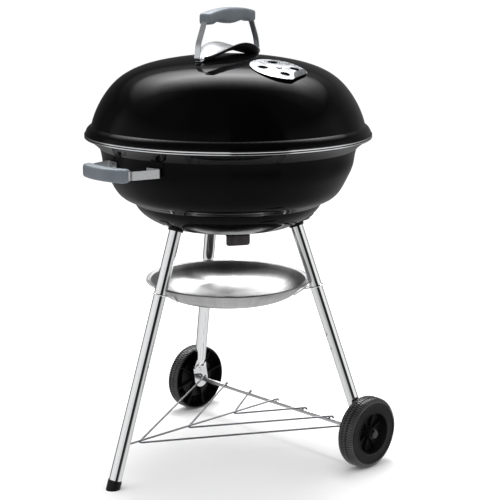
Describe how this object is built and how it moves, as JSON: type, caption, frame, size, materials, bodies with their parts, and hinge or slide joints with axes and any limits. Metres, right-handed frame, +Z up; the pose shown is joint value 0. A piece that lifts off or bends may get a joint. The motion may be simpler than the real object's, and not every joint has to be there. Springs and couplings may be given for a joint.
{
  "type": "kettle charcoal grill",
  "caption": "Round kettle charcoal grill: domed lid with handle and vent, flared bowl on splayed tube legs with wheels, ash pan and wire rack.",
  "frame": {"origin": "on the floor, at the centre of the whole grill's footprint box; the kettle's axis is 25 mm behind it", "axes": "+Z up; -Y towards the front leg and the side handle, +Y towards the wheels; X along the axle"},
  "size_m": [0.59, 0.64, 0.945],
  "materials": {
    "enamel": "glossy black porcelain enamel",
    "chrome": "bright chrome plating on steel tube and wire",
    "aluminium": "spun and pressed sheet, satin",
    "strap_steel": "satin flat steel strap",
    "grip_plastic": "blue-grey moulded plastic, satin",
    "black_plastic": "moulded black plastic, satin",
    "damper_steel": "heat-stained sheet, satin",
    "grate_steel": "plated steel wire"
  },
  "bodies": {
    "stand": {"bowl": "enamel", "leg_socket_front": "enamel", "leg_socket_left": "enamel", "leg_socket_right": "enamel", "socket_rivets": "chrome", "leg_front": "chrome", "leg_left": "chrome", "leg_right": "chrome", "foot_cap": "black_plastic", "axle": "chrome", "axle_caps": "chrome", "bottom_rack": "chrome", "ash_pan": "aluminium", "pan_clip_front": "chrome", "pan_clip_left": "chrome", "pan_clip_right": "chrome", "ash_damper_rivet": "aluminium", "charcoal_grate_brackets": "strap_steel", "cooking_grate_brackets": "strap_steel", "side_handle_bracket": "strap_steel", "side_handle_grip": "grip_plastic", "side_handle_bolts": "chrome"},
    "lid": {"lid_shell": "enamel", "lid_handle_bracket": "strap_steel", "lid_handle_grip": "grip_plastic", "lid_handle_bolts": "chrome", "lid_handle_nuts": "chrome", "heat_shield": "aluminium", "lid_damper_rivet": "aluminium"},
    "lid_damper": {"lid_damper_disc": "aluminium"},
    "ash_damper": {"ash_damper_disc": "damper_steel"},
    "charcoal_grate": {"charcoal_grate": "grate_steel"},
    "cooking_grate": {"cooking_grate": "grate_steel"},
    "wheel_left": {"wheel_left": "black_plastic"},
    "wheel_right": {"wheel_right": "black_plastic"}
  },
  "joints": [
    {"name": "lid_lift", "type": "slide", "parent": "stand", "child": "lid", "axis": [0, 0, 1], "range_m": [0, 0.4]},
    {"name": "lid_vent_turn", "type": "hinge", "parent": "lid", "child": "lid_damper", "pos_m": [0.16012, 0.00817, 0.83249], "axis": [0.2669, -0.0281, 0.9633], "range_deg": [0, 45]},
    {"name": "ash_damper_turn", "type": "hinge", "parent": "stand", "child": "ash_damper", "pos_m": [0, 0.025, 0.487], "axis": [0, 0, 1], "range_deg": [0, 45]},
    {"name": "charcoal_grate_lift", "type": "slide", "parent": "stand", "child": "charcoal_grate", "axis": [0, 0, 1], "range_m": [0, 0.06]},
    {"name": "cooking_grate_lift", "type": "slide", "parent": "stand", "child": "cooking_grate", "axis": [0, 0, 1], "range_m": [0, 0.04]},
    {"name": "wheel_left_spin", "type": "hinge", "parent": "stand", "child": "wheel_left", "pos_m": [-0.2675, 0.1719, 0.075], "axis": [1, 0, 0], "continuous": true},
    {"name": "wheel_right_spin", "type": "hinge", "parent": "stand", "child": "wheel_right", "pos_m": [0.2675, 0.1719, 0.075], "axis": [1, 0, 0], "continuous": true}
  ]
}
